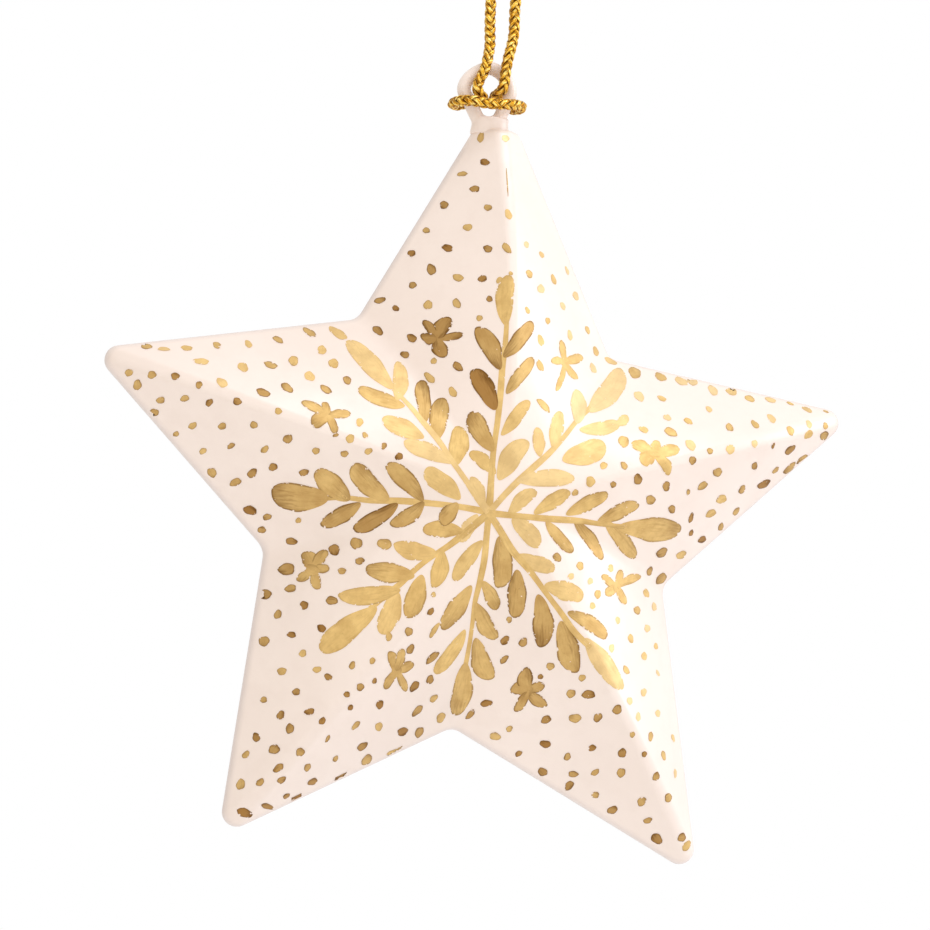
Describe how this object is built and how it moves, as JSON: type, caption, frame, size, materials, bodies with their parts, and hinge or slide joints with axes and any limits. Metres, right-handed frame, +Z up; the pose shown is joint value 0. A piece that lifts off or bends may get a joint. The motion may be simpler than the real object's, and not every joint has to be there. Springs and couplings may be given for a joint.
{
  "type": "hanging star ornament",
  "caption": "Hollow five-pointed papier-mache star with domed facets, a wire-cored eye at its top point and a thin braided hanging cord cow-hitched on the eye and knotted above.",
  "frame": {"origin": "middle of the knot that the ornament hangs by, straight above the star", "axes": "+Z up along the hanging cord, the painted front looks towards -Y, +X to the right seen from the front"},
  "size_m": [0.0883, 0.029, 0.1613],
  "materials": {
    "painted_shell": "cream gesso with a soft lacquer sheen",
    "gold_paint": "brushed-on gold paint",
    "pulp": "dried paper pulp",
    "wire": "soft drawn wire",
    "gesso": "cream gesso over pulp",
    "cord": "braided metallic gold thread"
  },
  "bodies": {
    "knot": {"cord_knot": "cord"},
    "strands": {"cord_left": "cord", "cord_right": "cord"},
    "star": {"front_shell": "painted_shell", "rear_shell": "painted_shell", "seam_strip": "painted_shell", "anchor_plug": "pulp", "loop_wire": "wire", "hanger_loop": "gesso", "cord_hitch": "cord"}
  },
  "joints": [
    {"name": "cord_swing", "type": "hinge", "parent": "knot", "child": "strands", "pos_m": [0, 0, 0], "axis": [0, 1, 0], "range_deg": [-60, 60]},
    {"name": "star_turn", "type": "hinge", "parent": "strands", "child": "star", "pos_m": [0.00022, -0.0007, -0.05455], "axis": [0, 0, 1], "range_deg": [-180, 180]}
  ]
}
